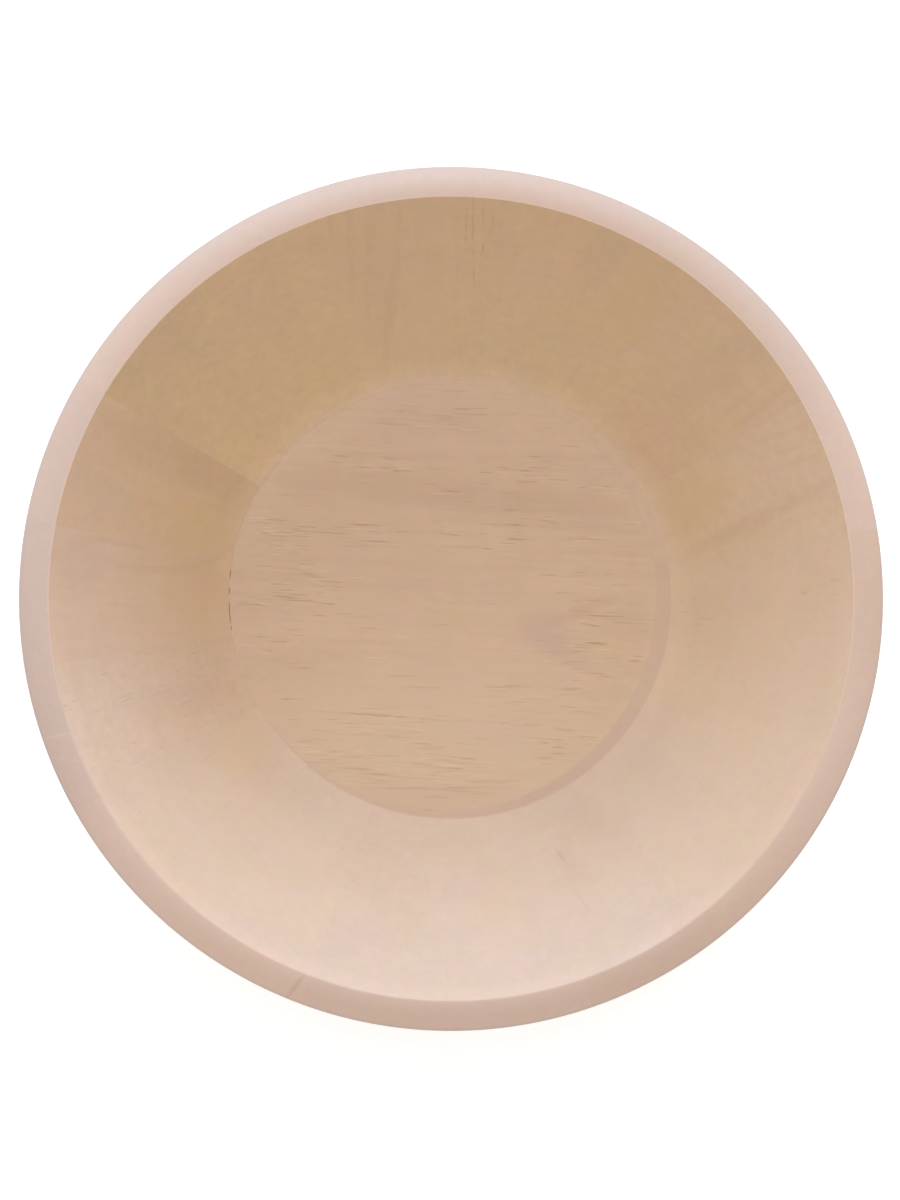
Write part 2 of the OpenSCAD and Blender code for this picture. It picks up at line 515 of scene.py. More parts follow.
def finish_wood(t, shader, tone, height, roughness):
    """Feeds the shader with the wood's colour, relief and gloss."""
    bump = t.node("ShaderNodeBump")
    bump.inputs["Distance"].default_value = 1.0
    bump.inputs["Strength"].default_value = RELIEF
    t.feed(bump.inputs["Height"], height)
    t.feed(shader.inputs["Base Color"], tone)
    t.feed(shader.inputs["Roughness"], roughness)
    t.feed(shader.inputs["Normal"], bump.outputs["Normal"])
    shader.inputs["Specular IOR Level"].default_value = WOOD_SHINE


def grain(seed, pith=(0.0, 60.0, 0.0, 0.05), rings=(2.6, 0.03), pores=(0.03, 0.15), streaks=0.35,
          blotches=0.7):
    """A board's figure: pith is its place across and below the face, its lean and its rise.

    Rings are their width and strength, and pores are how many show and how strongly.
    """
    return {
        "Seed": seed,
        "Pith across": pith[0], "Pith depth": pith[1], "Pith lean": pith[2], "Pith rise": pith[3],
        "Ring width": rings[0], "Ring strength": rings[1], "Pore share": pores[0], "Pore strength": pores[1],
        "Streak strength": streaks, "Blotch strength": blotches,
    }


def mark(at, size, turn, share, bend=0.0, into=VEIN, wander=1.5, thin=False):
    """One oval mark: its centre, half its length and width, its turn and its bend, all in millimetres.

    Wander is how far its edges stray, into is the tone that it goes towards by its share, and a thin
    mark breaks up into dashes.
    """
    return dict(at=at, size=size, turn=turn, share=share, bend=bend, into=into, wander=wander, thin=thin)


def patch(at, size, share, into):
    """A broad soft patch of another tone, with an edge that strays."""
    return mark(at, size, 0.0, share, into=into, wander=9.0)


def line(x, y, half, turn, share, width=0.6):
    """A thin dark line along the grain, half as long as given on each side of its middle."""
    return mark((x, y), (half, width), turn, share, wander=1.0, thin=True)


# The staves, counterclockwise from the joint just above +X. Foot and lip are each a shade: rose, pale,
# light. Rim is its own shade: warm, light. End is how dark the end grain is on floor and foot.
# A mark's place is up the wall and across it from the middle of the stave's face. A rim mark's place is out
# from the bowl's axis and aside from the stave's middle.
# The lip and rim shades are partly the boards' own tone and partly painted light: towards -Y the lips are
# paler and lighter and the rims warmer and darker, and towards +Y the lips are darker and the rims cooler
# and lighter, as the lamps on the +Y side light them
STAVES = [
    dict(foot=(0.3, 0.18, 0.995), lip=(0.4, 0.4, 1.085), rim=(0.4, 1.0), end=0.0,
         grain=grain(1.0, streaks=0.6, blotches=1.2),
         marks=[mark((4.0, -9.2), (62.0, 4.2), 5.7, 0.14), patch((-27.0, 5.0), (26.0, 15.0), 0.45, HONEY),
                mark((25.0, 16.0), (28.0, 1.6), 0.0, 0.08), mark((28.0, 5.0), (26.0, 1.6), 0.0, 0.06),
                mark((26.0, 10.0), (24.0, 1.4), 1.0, 0.06)]),
    dict(foot=(0.5, 0.05, 0.95), lip=(0.6, 0.1, 0.99), rim=(0.2, 0.97), end=0.2,
         grain=grain(2.0, streaks=0.7, blotches=1.2),
         marks=[patch((20.0, 2.5), (38.0, 11.0), 0.22, PLUM), mark((25.0, -17.0), (28.0, 2.2), 0.0, 0.10),
                mark((25.0, -11.0), (26.0, 1.8), 0.0, 0.08), patch((5.0, 15.0), (18.0, 8.0), 0.3, ROSE),
                patch((-14.0, -14.0), (20.0, 8.0), 0.25, HONEY)]),
    dict(foot=(0.0, 0.15, 1.0), lip=(0.5, 0.0, 0.94), rim=(0.2, 0.955), end=0.0,
         grain=grain(3.0, streaks=0.6, blotches=1.2),
         marks=[patch((17.0, -4.0), (28.0, 12.0), 0.45, HONEY),
                patch((31.0, 16.0), (22.0, 11.0), 0.22, PLUM),
                patch((5.0, -16.0), (18.0, 8.0), 0.3, ROSE)]),
    dict(foot=(0.0, 0.2, 1.0), lip=(0.5, 0.0, 0.955), rim=(0.1, 0.97), end=0.0,
         grain=grain(4.0, streaks=0.6, blotches=1.2),
         marks=[line(40.0, 17.2, 10.0, 6.6, 0.4), line(25.0, 15.7, 14.0, 6.6, 0.42),
                line(19.0, 11.5, 6.0, 6.0, 0.4), line(5.0, 13.0, 7.0, 6.6, 0.4),
                line(38.0, 13.5, 9.0, 6.0, 0.35), line(30.0, 18.6, 14.0, 5.0, 0.35),
                line(36.0, 10.0, 10.0, 6.0, 0.25), patch((8.0, -4.0), (18.0, 12.0), 0.25, ROSE)]),
    dict(foot=(0.0, 0.2, 1.0), lip=(0.6, 0.05, 0.955), rim=(0.05, 0.99), end=0.0,
         grain=grain(5.0, streaks=0.8),
         marks=[mark((-12.0, 5.0), (40.0, 2.6), -10.5, 0.11, wander=4.0),
                mark((28.0, -2.5), (30.0, 1.8), -6.0, 0.09, wander=3.0),
                mark((24.0, 15.0), (34.0, 2.2), -5.5, 0.11, wander=3.0),
                mark((16.0, 9.5), (38.0, 1.8), -6.5, 0.07, wander=3.0),
                mark((44.0, 20.0), (14.0, 1.6), 0.0, 0.12),
                mark((8.0, 8.0), (48.0, 10.0), -8.0, 0.07)]),
    dict(foot=(0.0, 0.1, 1.005), lip=(0.4, 0.0, 0.95), rim=(0.0, 1.02), end=0.0,
         grain=grain(6.0, blotches=1.6),
         marks=[patch((18.0, 6.0), (30.0, 15.0), 0.16, PLUM),
                patch((-18.0, 0.0), (22.0, 14.0), 0.3, HONEY)]),
    dict(foot=(0.0, 0.1, 0.98), lip=(0.3, 0.0, 0.91), rim=(0.2, 1.045), end=0.0,
         grain=grain(7.0, blotches=1.6),
         marks=[patch((38.0, -4.0), (16.0, 20.0), 0.16, PLUM),
                patch((-12.0, 4.0), (26.0, 14.0), 0.3, HONEY)]),
    dict(foot=(0.3, 0.03, 0.89), lip=(0.8, 0.12, 1.0), rim=(0.1, 0.995), end=0.0,
         grain=grain(8.0, streaks=0.6, blotches=1.2),
         marks=[mark((4.0, -14.0), (58.0, 12.0), -3.0, 0.18),
                patch((-26.0, 8.0), (26.0, 11.0), 0.5, HONEY),
                patch((30.0, 9.0), (24.0, 14.0), 0.15, PALE)]),
    dict(foot=(0.5, 0.1, 0.9), lip=(1.0, 0.5, 1.045), rim=(0.2, 0.94), end=0.2,
         grain=grain(9.0, streaks=0.8),
         marks=[mark((10.0, -18.4), (28.0, 1.8), -6.2, 0.13),
                mark((-10.0, -9.3), (44.0, 2.4), 0.0, 0.14, bend=-0.0047),
                patch((34.0, -11.0), (20.0, 11.0), 0.22, PLUM),
                patch((-30.0, -2.0), (22.0, 14.0), 0.35, AMBER)]),
    dict(foot=(0.9, 0.25, 0.905), lip=(0.5, 0.8, 1.09), rim=(0.4, 0.92), end=0.1,
         grain=grain(10.0, pores=(0.09, 0.25), streaks=0.8, blotches=1.2),
         marks=[mark((-16.0, 4.0), (32.0, 12.0), 3.0, 0.08), line(14.0, -6.0, 9.0, 2.0, 0.2),
                line(4.0, 3.0, 8.0, -3.0, 0.2), line(-6.0, -3.0, 9.0, 2.0, 0.2),
                line(-14.0, 8.0, 7.0, 0.0, 0.2), line(-20.0, 1.0, 8.0, -2.0, 0.2)],
         rim_marks=[mark((144.0, -0.5), (7.5, 0.7), -6.0, 0.3, into=SHEEN, wander=0.5),
                    mark((144.5, 8.0), (7.0, 0.7), -24.0, 0.2, into=SHEEN, wander=0.8)]),
    dict(foot=(0.3, 0.55, 0.955), lip=(0.2, 0.8, 1.08), rim=(0.6, 1.02), end=0.1, grain=grain(11.0),
         marks=[patch((-28.0, -6.0), (20.0, 12.0), 0.3, HONEY), line(6.0, 6.0, 5.0, 0.0, 0.15)]),
    dict(foot=(0.0, 0.75, 0.975), lip=(0.0, 0.9, 1.075), rim=(0.85, 0.99), end=0.3, grain=grain(12.0),
         marks=[line(-22.0, 12.0, 3.0, -20.0, 0.2), patch((0.0, 0.0), (26.0, 18.0), 0.08, AMBER)],
         rim_marks=[mark((142.8, 21.9), (7.5, 1.2), -5.0, 0.4, wander=0.5)]),
    dict(foot=(0.2, 0.7, 0.95), lip=(0.0, 1.0, 1.045), rim=(0.85, 0.955), end=0.35,
         grain=grain(13.0, blotches=1.0),
         marks=[patch((2.0, 0.0), (26.0, 18.0), 0.14, PLUM), line(12.0, -20.0, 8.0, 8.0, 0.2),
                line(-16.0, 10.0, 7.0, 12.0, 0.2)]),
    dict(foot=(0.2, 0.75, 0.95), lip=(0.0, 1.0, 1.055), rim=(0.85, 0.955), end=0.4, grain=grain(14.0),
         marks=[patch((0.0, 0.0), (26.0, 18.0), 0.09, AMBER)]),
    dict(foot=(0.2, 0.75, 0.935), lip=(0.0, 1.0, 1.055), rim=(0.95, 0.91), end=0.6,
         grain=grain(15.0, blotches=1.0),
         marks=[patch((-2.0, -9.0), (26.0, 7.0), 0.2, PLUM), patch((2.0, 6.0), (24.0, 12.0), 0.08, AMBER),
                patch((-28.0, 5.0), (18.0, 9.0), 0.2, PLUM),
                line(-19.0, -11.0, 6.0, 3.0, 0.4, 0.9), line(10.0, -12.0, 8.0, 2.0, 0.15)]),
    dict(foot=(0.1, 0.7, 0.975), lip=(0.3, 0.75, 1.05), rim=(0.8, 0.975), end=0.55, grain=grain(16.0),
         marks=[]),
    dict(foot=(0.2, 0.5, 1.04), lip=(0.1, 0.65, 1.04), rim=(0.6, 1.01), end=0.3, grain=grain(17.0),
         marks=[]),
    dict(foot=(0.2, 0.4, 1.01), lip=(0.5, 0.5, 1.075), rim=(0.75, 0.925), end=0.25,
         grain=grain(18.0, pores=(0.06, 0.2)),
         marks=[line(-34.0, -8.5, 9.0, 0.0, 0.2), line(-30.0, -6.0, 8.0, 1.0, 0.18),
                line(-38.0, -4.0, 7.0, 0.0, 0.18), line(38.0, 8.0, 5.0, 0.0, 0.2, 0.8),
                line(30.0, 6.0, 5.0, -5.0, 0.18), line(-17.0, 14.0, 9.0, -16.0, 0.18, 0.8)]),
]
# How much of the step in tone shows at each joint, in the same order: 0 where the boards match
JOINT_STEPS = [0.6, 0.45, 0.2, 0.1, 0.1, 0.2, 0.1, 1.0, 0.6, 0.5, 0.4, 0.2, 0.7, 0.3, 0.6, 0.3, 0.1, 0.3]

# The base's shade and that of its lower half, its grain and the grain's angle from +X, and the point under
# which its pith lies
BASE_SHADE = shade(0.8, 0.07, 0.863)
BASE_LOW_SHADE = shade(0.3, 0.3, 0.915)
BASE_GRAIN = grain(40.0, pith=(0.0, 62.0, 0.0, 0.067), rings=(2.4, 0.10), pores=(0.06, 0.42), streaks=1.4)
BASE_GRAIN_ANGLE = -3.0
BASE_FIGURE_AT = (0.034, -0.009, FLOOR_Z)
# Where the base's pores crowd: the middle and half the size of each oval, and the share it adds
BASE_PORES = [
    ((-9.0, 66.0), (30.0, 8.0), 0.15),
    ((-30.0, 50.0), (26.0, 6.0), 0.11),
    ((27.0, 46.0), (22.0, 9.0), 0.10),
    ((-62.0, 27.0), (22.0, 7.0), 0.12),
    ((-31.0, 23.0), (18.0, 8.0), 0.09),
    ((26.0, 24.0), (44.0, 10.0), 0.08),
    ((-60.0, 8.0), (24.0, 20.0), 0.10),
    ((48.0, 10.0), (26.0, 12.0), 0.06),
    ((54.0, -18.0), (28.0, 20.0), 0.08),
    ((-62.0, -20.0), (16.0, 10.0), 0.07),
    ((-24.0, -24.0), (16.0, 10.0), 0.05),
    ((34.0, -42.0), (32.0, 16.0), 0.13),
    ((44.0, -54.0), (16.0, 9.0), 0.12),
    ((-28.0, -54.0), (38.0, 22.0), 0.155),
    ((12.0, -66.0), (28.0, 14.0), 0.155),
]
# The base's marks: the yellower lower half, the purple patch at the top, the broad dark band, the arched
# figure on the right with its two arms, the tinged strip at the bottom, and then the longest dark lines
BASE_MARKS = [
    mark((0.0, -62.0), (140.0, 48.0), 0.0, 0.6, into=BASE_LOW_SHADE),
    patch((-12.0, 67.0), (34.0, 16.0), 0.4, PLUM),
    mark((0.0, 39.5), (78.0, 9.0), -5.0, 0.2),
    mark((-30.0, 14.0), (50.0, 4.0), -3.0, 0.09),
    mark((34.0, -12.5), (13.0, 10.0), -30.0, 0.75, into=DUSK, wander=7.0),
    mark((43.0, -20.5), (20.0, 5.0), -32.0, 0.45, into=DUSK, wander=4.0),
    mark((48.0, -4.5), (20.0, 3.0), 22.0, 0.2, wander=2.5),
    patch((14.0, -47.0), (26.0, 8.0), 0.24, MAUVE),
    mark((-10.0, -76.0), (50.0, 9.0), 0.0, 0.45, into=PLUM),
    line(-10.0, -69.6, 41.0, 0.0, 0.35, 0.7),
    line(-13.0, 24.8, 15.0, -1.0, 0.40, 0.7),
    line(30.0, 27.0, 31.0, -2.0, 0.30, 0.7),
    line(5.0, 19.0, 10.0, -1.0, 0.30),
    line(42.0, 8.4, 8.0, 0.0, 0.50),
    line(21.0, 27.0, 7.0, 0.0, 0.40),
    line(-25.0, 21.0, 8.0, -2.0, 0.30),
    line(-24.0, 19.4, 7.0, -3.0, 0.30),
    line(-65.0, 11.6, 17.0, -4.0, 0.30),
    line(-51.0, 8.5, 7.0, -8.0, 0.35),
    line(-43.0, 4.5, 7.0, -8.0, 0.30),
    line(-61.0, 14.0, 8.0, -3.0, 0.30),
    line(-52.0, 18.5, 7.0, 0.0, 0.25),
    line(-61.0, 24.6, 5.0, 0.0, 0.40),
    line(-24.0, 64.6, 12.0, -5.0, 0.50),
    line(1.5, 76.5, 6.0, 0.0, 0.35),
    line(-3.0, 67.0, 14.0, -3.0, 0.25),
    line(4.0, 62.2, 12.0, -4.0, 0.30),
    line(23.0, 68.5, 6.0, -3.0, 0.30),
    line(-22.5, 47.3, 5.0, -8.0, 0.65, 0.7),
    line(-23.0, 52.0, 5.0, -6.0, 0.50),
    line(25.5, 43.2, 3.0, -12.0, 0.65, 0.7),
    line(22.0, 32.8, 4.0, 0.0, 0.55),
    line(64.0, 16.0, 6.0, 0.0, 0.35),
    line(-23.5, -43.0, 36.0, -4.2, 0.55),
    line(16.0, -45.5, 20.0, -5.5, 0.50),
    line(-34.0, -49.8, 10.0, -2.0, 0.40),
    line(-18.0, -28.4, 7.0, -1.0, 0.40),
    line(-10.0, -32.5, 10.0, -3.0, 0.35),
    line(22.0, -32.0, 13.0, -2.0, 0.50),
    line(44.0, -33.0, 6.0, 0.0, 0.40),
    line(12.5, -51.3, 7.0, 0.0, 0.50),
    line(-36.0, -62.3, 10.0, -6.0, 0.40),
    line(-12.0, -60.5, 7.0, -3.0, 0.40),
    line(-12.0, -66.0, 10.0, -3.0, 0.30),
    line(-5.0, -73.0, 6.0, 0.0, 0.50),
    line(54.5, -16.4, 4.0, 0.0, 0.45, 0.7),
    line(-56.5, -11.4, 5.0, 0.0, 0.40),
    line(-22.0, -50.3, 4.0, -2.0, 0.50),
    line(34.0, -52.9, 2.5, 0.0, 0.60, 0.7),
    line(50.0, -51.5, 4.0, 0.0, 0.45),
    line(50.0, -53.3, 3.0, 0.0, 0.45),
    line(39.5, -54.6, 3.5, 0.0, 0.55),
    line(39.5, -57.0, 3.0, 0.0, 0.50),
    line(-54.0, -52.5, 4.0, 0.0, 0.45),
    line(-33.0, -58.0, 8.0, -2.0, 0.45),
    line(-24.0, -64.9, 7.0, -8.0, 0.50),
    line(-5.3, -64.6, 2.5, 4.0, 0.60, 0.7),
    line(1.5, -62.5, 5.0, 0.0, 0.45),
    line(8.5, -67.0, 6.0, -2.0, 0.45),
    line(-8.5, -78.0, 2.5, -4.0, 0.60, 0.7),
    line(34.0, -58.6, 4.0, -3.0, 0.45),
    line(35.5, -60.5, 3.5, -3.0, 0.45),
    line(-57.0, -23.6, 8.0, -2.0, 0.35),
    line(-56.0, -25.4, 7.0, -2.0, 0.35),
]


def neighbours_tone(t, number, across, before, own, after):
    """A tone that runs over into the neighbours' near each joint, as far as the joint shows no step.

    Across goes from -1 at the joint with the stave before to 1 at the joint with the one after.
    """
    joint_after = JOINT_STEPS[(number + 1) % STAVE_COUNT]
    tone = t.mix(t.ease(across, -0.1, -1.0, 0.0, (1.0 - JOINT_STEPS[number]) / 2), own, before)
    return t.mix(t.ease(across, 0.1, 1.0, 0.0, (1.0 - joint_after) / 2), tone, after)


def painted_edge_light(t, here, radius, tone):
    """The floor's tone, with painted light that lightens it towards its edge except on the -X side, and
    cooler there towards -Y.
    """
    x, y, _ = t.split(here)
    # Painted light against the shade of the corner round the floor's edge
    right = t.calc("MULTIPLY", t.ease(x, -0.075, -0.035), t.ease(y, 0.07, 0.0, 0.35, 1.0))
    upper_left = t.ease(t.calc("SUBTRACT", y, x), 0.075, 0.105, 0.0, 0.9)
    share = t.calc("MULTIPLY", t.ease(radius, 0.066, 0.077), t.calc("MAXIMUM", right, upper_left))
    tone = t.times(share, tone, FLOOR_EDGE_PAINTED_LIGHT)
    blush = t.calc("MULTIPLY", t.ease(radius, 0.072, 0.077), t.ease(y, -0.01, -0.05))
    return t.times(blush, tone, EDGE_BLUSH)


def disc_tone(t, here):
    """The disc's tone, with the floor's painted edge light, and lighter where its edge runs up into the
    corner.
    """
    x, y, _ = t.split(here)
    radius = t.length(x, y)
    tone = painted_edge_light(t, here, radius, BASE_SHADE)
    return t.times(t.ease(radius, FLOOR_R - 0.0004, FLOOR_R + 0.0003), tone, EDGE_LIFT)


class StavePlace:
    """Where a point lies on one stave, as sockets of its material's tree.

    Board is the point in the frame of the stave's board, which stands along the wall's slope, and radial
    the point in a level frame through the stave's middle. Across goes from -1 at the joint with the stave
    before to 1 at the joint with the one after.
    """

    def __init__(self, t, number):
        middle = FIRST_JOINT + STAVE_ANGLE * (number + 0.5)
        self.turn = math.radians(middle)
        face_r = (MOUTH_R + FLOOR_R) / 2
        face = (face_r * math.cos(self.turn), face_r * math.sin(self.turn), (HEIGHT + FLOOR_Z) / 2)
        self.board = board_frame(t, face, (0.0, -WALL_SLOPE, middle))
        self.radial = board_frame(t, (0.0, 0.0, 0.0), (0.0, 0.0, middle))
        self.here = t.here()
        _, self.y, _ = t.split(self.here)
        self.out, self.aside, self.z = t.split(self.radial)
        self.across = t.calc("DIVIDE", self.aside, t.calc("MULTIPLY", self.out, math.tan(STAVE_HALF)))
        self.radius = t.length(self.out, self.aside)


def wall_tone(t, place, number, trio):
    """The wall's tone from its foot to its lip, with painted light at the foot of its inner face and a
    painted highlight along its lip.
    """
    radius, y = place.radius, place.y
    along, _, deep = t.split(place.board)
    up_wall = t.ease(along, -FACE_HALF, FACE_HALF)
    inner_face = t.ease(deep, *INNER_FACE_END)
    shades = [t.mix(up_wall, shade(*one["foot"]), shade(*one["lip"])) for one in trio]
    tone = neighbours_tone(t, number, place.across, *shades)
    # Painted light on the foot and on the corner under it, and a painted highlight along the lip
    for where, side, factors in (
        (t.ease(radius, FLOOR_R + 0.009, FLOOR_R + 0.001), t.ease(y, -0.07, 0.02, 0.3, 1.0), FOOT_PAINTED_LIGHT),
        (t.ease(radius, FLOOR_R + 0.005, FLOOR_R + 0.0008), t.ease(y, 0.0, 0.05), CORNER_PAINTED_COOL_LIGHT),
        (t.ease(radius, MOUTH_R - 0.0065, MOUTH_R - 0.0004), t.ease(y, 0.05, -0.04), LIP_PAINTED_HIGHLIGHT),
    ):
        share = t.calc("MULTIPLY", t.calc("MULTIPLY", where, side), inner_face)
        tone = t.times(share, tone, factors)
    return tone


def end_grain(t, place, floor):
    """How much end grain shows: under the foot and on the floor, less in the corner except towards -Y, where
    its dark tone also runs over the corner's fillet as painted shade on its lit edge.
    """
    fibres = Vector((1.0, 0.0, 0.0))
    fibres.rotate(Euler((0.0, -math.radians(WALL_SLOPE), place.turn)))
    normal = t.node("ShaderNodeNewGeometry").outputs["Normal"]
    end_on = t.ease(t.calc("ABSOLUTE", t.dot(normal, fibres)), 0.35, 0.75)
    end_on = t.calc("MULTIPLY", end_on, t.ease(place.z, *FOOT_END))
    # Towards -Y the end grain stays full up to the corner: partly real end grain, partly painted shade on
    # the fillet
    corner_end_and_painted_shade = t.ease(place.y, -0.055, -0.072, 0.2, 1.0)
    on_floor = t.calc("MULTIPLY", floor, t.ease(place.radius, FLOOR_R, FLOOR_R - 0.003, corner_end_and_painted_shade, 1.0))
    end_on = t.calc("MAXIMUM", end_on, on_floor)
    spots = t.noise(t.in_mm(place.radial), (2.0, 2.0, 2.0), detail=3.0)
    return t.calc("MULTIPLY", end_on, t.calc("MULTIPLY_ADD", spots, 0.6, 1.0))


def rim_tone(t, place, number, trio):
    """The rounded rim's tone: mottled, a little lighter outward as painted light where its crown rolls over,
    and with painted light and shade that turn with the side of the bowl that it is on.
    """
    radius = place.radius
    rim = neighbours_tone(t, number, place.across, *[rim_shade(*one["rim"]) for one in trio])
    mottle = t.noise(t.in_mm(place.here), (3.0, 3.0, 3.0), detail=4.0, rough=0.7)
    blush = t.noise(t.in_mm(place.radial), (5.0, 4.0, 4.0), detail=4.0, rough=0.7)
    # A little lighter outward: painted light against the shade where the crown rolls over
    rim = t.tint(rim, t.calc("MULTIPLY_ADD", mottle, 0.16, t.ease(radius, MOUTH_R, RIM_R, 1.0, 1.05)))
    for swing, strength, (low, high) in ((blush, 5.0, RIM_BLUSH), (mottle, 2.2, RIM_MOTTLE)):
        rim = t.times(t.calc("MULTIPLY", swing, -strength, clamp=True), rim, low)
        rim = t.times(t.calc("MULTIPLY", swing, strength, clamp=True), rim, high)
    # Painted light and shade by side: cooler and partly lighter towards +Y, which faces the lamps, and
    # darker at the outer edge towards -Y, which faces away
    far_inner, far_outer, far_edge = RIM_FAR_PAINTED_LIGHT_AND_SHADE
    near_inner, near_outer, near_edge = RIM_NEAR_PAINTED_LIGHT_AND_SHADE
    outer_part = t.ease(radius, MOUTH_R + 0.001, RIM_R - 0.0005)
    rim = t.times(t.ease(place.y, 0.02, 0.15), rim, t.mix(outer_part, far_inner, far_outer))
    rim = t.times(t.ease(place.y, -0.02, -0.15), rim, t.mix(outer_part, near_inner, near_outer))
    edge = t.ease(radius, RIM_R - 0.0016, RIM_R - 0.0004)
    return t.times(edge, rim, t.mix(t.ease(place.y, -0.10, 0.10), near_edge, far_edge))


def joint_share(t, place):
    """How much of the glued joints on both sides of a stave shows."""
    to_joint = t.calc("MULTIPLY", t.calc("ABSOLUTE", place.aside), math.cos(STAVE_HALF))
    to_joint = t.calc("SUBTRACT", t.calc("MULTIPLY", place.out, math.sin(STAVE_HALF)), to_joint)
    return t.calc("MULTIPLY", t.ease(to_joint, JOINT_WIDTH, 0.0), JOINT_SHARE)


def stave_material(number):
    """One stave, with its share of the wall, the rim, the floor and the foot."""
    stave = STAVES[number]
    trio = (STAVES[number - 1], stave, STAVES[(number + 1) % STAVE_COUNT])
    material, t, shader = new_material(f"stave_wood_{number + 1:02d}")
    place = StavePlace(t, number)

    # The wall has its own tone and marks, with painted light at its foot and along its lip, and the floor
    # has the base's tone with its painted edge light
    floor = t.ease(place.radius, FLOOR_R + 0.0008, FLOOR_R - 0.0007)
    floor = t.calc("MULTIPLY", floor, t.ease(place.z, *UNDERSIDE_END))
    floor_tone = painted_edge_light(t, place.here, place.radius, BASE_SHADE)
    tone = t.mix(floor, wall_tone(t, place, number, trio), floor_tone)
    tone, height, roughness = wood(t, place.board, tone, stave["grain"])
    marked = add_marks(t, tone, t.in_mm(place.board), stave["marks"])
    tone = t.mix(t.calc("SUBTRACT", 1.0, floor), tone, marked)
    end_share = t.calc("MULTIPLY", end_grain(t, place, floor), stave["end"], clamp=True)
    tone = t.mix(end_share, tone, END_TONE)

    # The rim
    rim = rim_tone(t, place, number, trio)
    if "rim_marks" in stave:
        rim = add_marks(t, rim, t.in_mm(place.radial), stave["rim_marks"])
    crown = t.ease(place.radius, MOUTH_R - 0.0006, MOUTH_R + 0.0008)
    crown = t.calc("MULTIPLY", crown, t.ease(place.z, *CROWN_START))
    tone = t.mix(t.calc("MULTIPLY", crown, RIM_SHARE), tone, rim)

    # The joints with its neighbours and with the disc
    tone = t.mix(joint_share(t, place), tone, GLUE)
    tone = add_seam_stain(t, tone)
    finish_wood(t, shader, tone, height, roughness)
    return material


def base_material():
    """The base disc: one flat board, with its grain across the bowl and an arched figure on the right."""
    material, t, shader = new_material("base_wood")
    here = t.here()
    board = board_frame(t, BASE_FIGURE_AT, (0.0, 0.0, BASE_GRAIN_ANGLE))
    x, y, _ = t.split(t.in_mm(here))
    crowd = BASE_GRAIN["Pore share"]
    for at, size, share in BASE_PORES:
        crowd = t.calc("ADD", crowd, in_oval(t, *oval(t, x, y, at, size, BASE_GRAIN_ANGLE), share))
    tone, height, roughness = wood(t, board, disc_tone(t, here), {**BASE_GRAIN, "Pore share": crowd})
    tone = add_marks(t, tone, t.in_mm(here), BASE_MARKS)
    tone = add_seam_stain(t, tone)
    finish_wood(t, shader, tone, height, roughness)
    return material


def glue_material():
    """Hardened glue in the disc's edge, stained like the wood beside it."""
    material, t, shader = new_material("glue")
    here = t.here()
    patches = t.noise(t.in_mm(here), (3.0, 3.0, 3.0), detail=3.0)
    tone = t.tint(disc_tone(t, here), t.calc("MULTIPLY_ADD", patches, 0.3, 1.0))
    tone = add_seam_stain(t, tone)
    roughness = t.calc("MULTIPLY_ADD", patches, 0.2, 0.45)
    finish_wood(t, shader, tone, t.calc("MULTIPLY", patches, GLUE_BUMPS), roughness)
    return material


def add_glue_line():
    """The glue that fills the gap round the disc, just under the floor's surface."""
    top = {}
    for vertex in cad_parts["base_disc"].data.vertices:
        x, y = vertex.co.x - DISC_CENTRE.x, vertex.co.y - DISC_CENTRE.y
        if vertex.co.z > FLOOR_Z - GLUE_REACH and abs(math.hypot(x, y) - DISC_R) < GAP / 4:
            angle = round(math.atan2(y, x), 5)
            top[angle] = max(vertex.co.z, top.get(angle, 0.0))
    angles = sorted(top)

    # Four rings of points: the lower and the upper edge on the disc's side, then on the staves' side
    inner, outer = DISC_R - GLUE_BITE, DISC_R + GAP + GLUE_BITE
    rings = [(GLUE_REACH, inner), (GLUE_SINK, inner), (GLUE_SINK, outer), (GLUE_REACH, outer)]
    points = []
    for drop, r in rings:
        for angle in angles:
            x, y = DISC_CENTRE.x + r * math.cos(angle), DISC_CENTRE.y + r * math.sin(angle)
            points.append((x, y, top[angle] - drop))
    count = len(angles)
    faces = []
    for ring in range(len(rings)):
        low, high = ring * count, (ring + 1) % len(rings) * count
        for i in range(count):
            j = (i + 1) % count
            faces.append((low + i, high + i, high + j, low + j))
    mesh = bpy.data.meshes.new("glue_line")
    mesh.from_pydata(points, [], faces)
    mesh.materials.append(glue_material())
    glue = bpy.data.objects.new("glue_line", mesh)
    bpy.context.scene.collection.objects.link(glue)
    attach(glue, "root")


def dress(node, material):
    """Gives a CAD node its material."""
    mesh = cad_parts[node].data
    mesh.materials.clear()
    mesh.materials.append(material)


def add_camera():
    """The photograph's camera: straight above, with the bowl's centre where the photograph has it."""
    per_pixel = RIM_R / PHOTO_R
    rim_distance = CAMERA_RISE + HEIGHT - WIDEST_Z
    frame_height = per_pixel * PHOTO_H * CAMERA_RISE / rim_distance
    data = bpy.data.cameras.new("camera")
    data.sensor_width = SENSOR
    data.lens = SENSOR * CAMERA_RISE / frame_height
    data.clip_start = NEAREST
    camera = bpy.data.objects.new("camera", data)
    camera.location = (
        (PHOTO_W / 2 - PHOTO_CENTRE_X) * per_pixel,
        (PHOTO_CENTRE_Y - PHOTO_H / 2) * per_pixel,
        HEIGHT + CAMERA_RISE,
    )
    bpy.context.scene.collection.objects.link(camera)
    bpy.context.scene.camera = camera


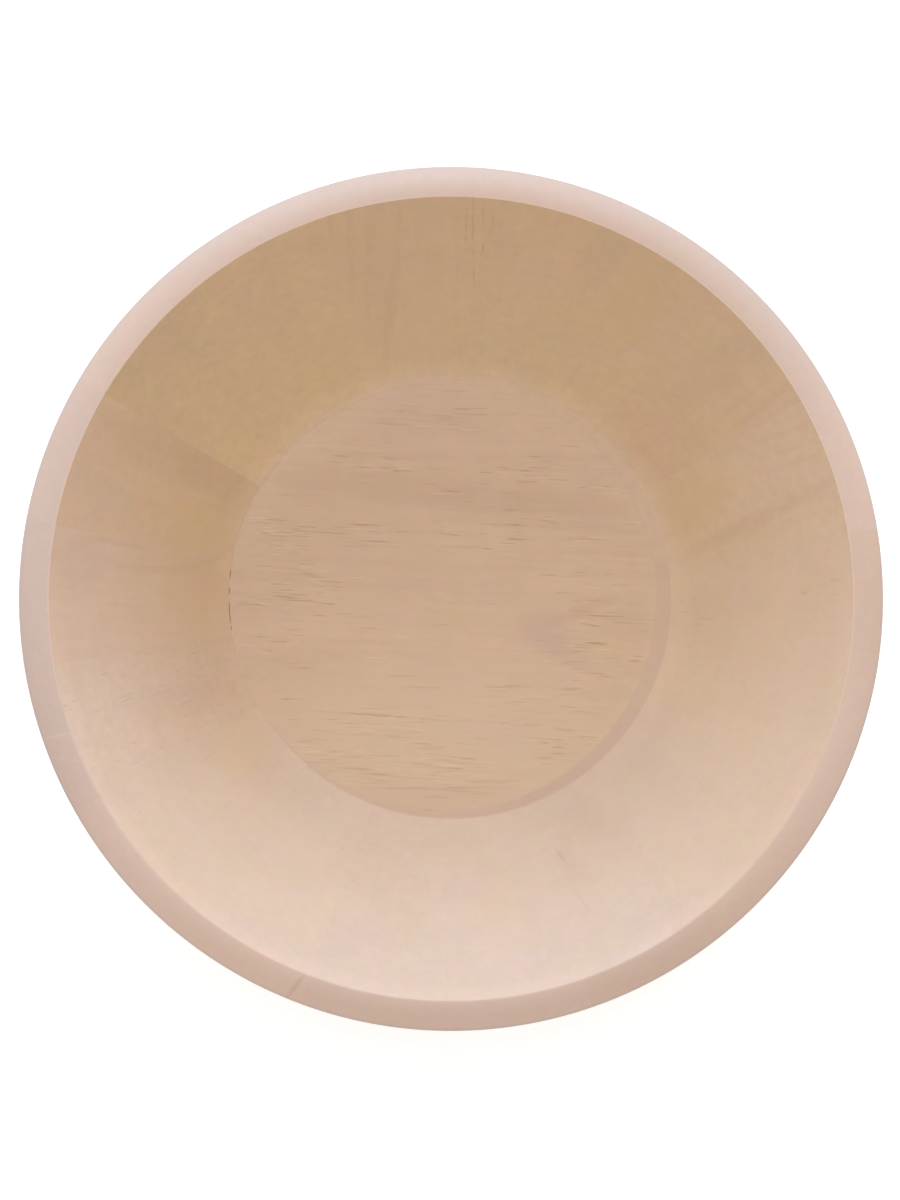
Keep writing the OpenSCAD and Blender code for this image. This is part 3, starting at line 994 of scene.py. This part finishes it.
def add_lamp(name, share, angle):
    """A broad soft lamp towards +Y, at an angle from straight up, that gives its share of the light."""
    data = bpy.data.lights.new(name, "SUN")
    data.color = LAMP_TINT
    data.energy = share * math.pi / math.cos(math.radians(angle))
    data.angle = math.radians(LAMP_SOFTNESS)
    lamp = bpy.data.objects.new(name, data)
    lamp.rotation_euler = (-math.radians(angle), 0.0, 0.0)
    bpy.context.scene.collection.objects.link(lamp)


def seen_directly(t):
    """One for rays that the camera sees straight, in a reflection or through glass."""
    path = t.node("ShaderNodeLightPath").outputs
    seen = t.calc("MAXIMUM", path["Is Camera Ray"], path["Is Glossy Ray"])
    return t.calc("MAXIMUM", seen, path["Is Transmission Ray"])


def add_world():
    """Even light from all around, which looks white where it is seen."""
    world = bpy.data.worlds.new("world")
    bpy.context.scene.world = world
    world.use_nodes = True
    t = Tree(world.node_tree)
    background = world.node_tree.nodes["Background"]
    direct = seen_directly(t)
    t.feed(background.inputs["Color"], t.mix(direct, AROUND_TINT, WHITE))
    extra = t.calc("MULTIPLY", direct, 1.0 - AROUND_SHARE)
    t.feed(background.inputs["Strength"], t.calc("ADD", extra, AROUND_SHARE))


def add_floor():
    """A pale floor that looks white but keeps the bowl's shadow."""
    half = PAPER_HALF
    mesh = bpy.data.meshes.new("floor")
    corners = [(-half, -half, 0.0), (half, -half, 0.0), (half, half, 0.0), (-half, half, 0.0)]
    mesh.from_pydata(corners, [], [(0, 1, 2, 3)])
    floor = bpy.data.objects.new("floor", mesh)
    bpy.context.scene.collection.objects.link(floor)
    material, t, shader = new_material("floor_paper")
    t.feed(shader.inputs["Base Color"], PAPER)
    shader.inputs["Roughness"].default_value = PAPER_ROUGHNESS
    shader.inputs["Specular IOR Level"].default_value = 0.0
    t.feed(shader.inputs["Emission Color"], WHITE)
    t.feed(shader.inputs["Emission Strength"], t.calc("MULTIPLY", seen_directly(t), PAPER_GLOW))
    mesh.materials.append(material)


add_camera()
add_world()
add_lamp("high_lamp", HIGH_SHARE, HIGH_ANGLE)
add_lamp("low_lamp", LOW_SHARE, LOW_ANGLE)
add_floor()
for number in range(STAVE_COUNT):
    dress(f"stave_{number + 1:02d}", stave_material(number))
dress("base_disc", base_material())
add_glue_line()

bpy.context.scene.view_settings.view_transform = "Standard"
